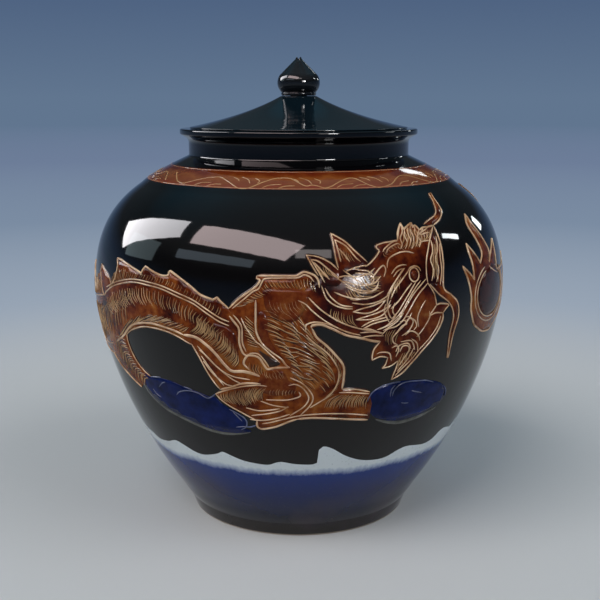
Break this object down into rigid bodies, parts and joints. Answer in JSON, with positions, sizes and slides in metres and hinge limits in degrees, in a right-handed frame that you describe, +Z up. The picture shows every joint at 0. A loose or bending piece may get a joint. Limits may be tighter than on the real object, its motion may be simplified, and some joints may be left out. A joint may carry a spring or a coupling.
{
  "type": "wine jar",
  "caption": "Big-bellied glazed stoneware wine jar with a short flanged neck and a low conical lid that lifts off and turns by a bud knob.",
  "frame": {"origin": "centre of the foot, on the surface that the jar stands on", "axes": "+Z up along the jar's axis; the decorated side seen in the picture faces -Y"},
  "size_m": [0.3976, 0.3976, 0.4388],
  "materials": {
    "body_glaze": "gloss",
    "lid_glaze": "gloss",
    "knob_glaze": "gloss",
    "seal": "satin"
  },
  "bodies": {
    "jar": {"jar_body": "body_glaze"},
    "seal": {"seal_ring": "seal"},
    "lid": {"lid": "lid_glaze", "lid_knob": "knob_glaze"}
  },
  "joints": [
    {"name": "lid_lift", "type": "slide", "parent": "jar", "child": "seal", "axis": [0, 0, 1], "range_m": [0, 0.2]},
    {"name": "lid_turn", "type": "hinge", "parent": "seal", "child": "lid", "pos_m": [0, 0, 0.3723], "axis": [0, 0, 1], "continuous": true}
  ]
}
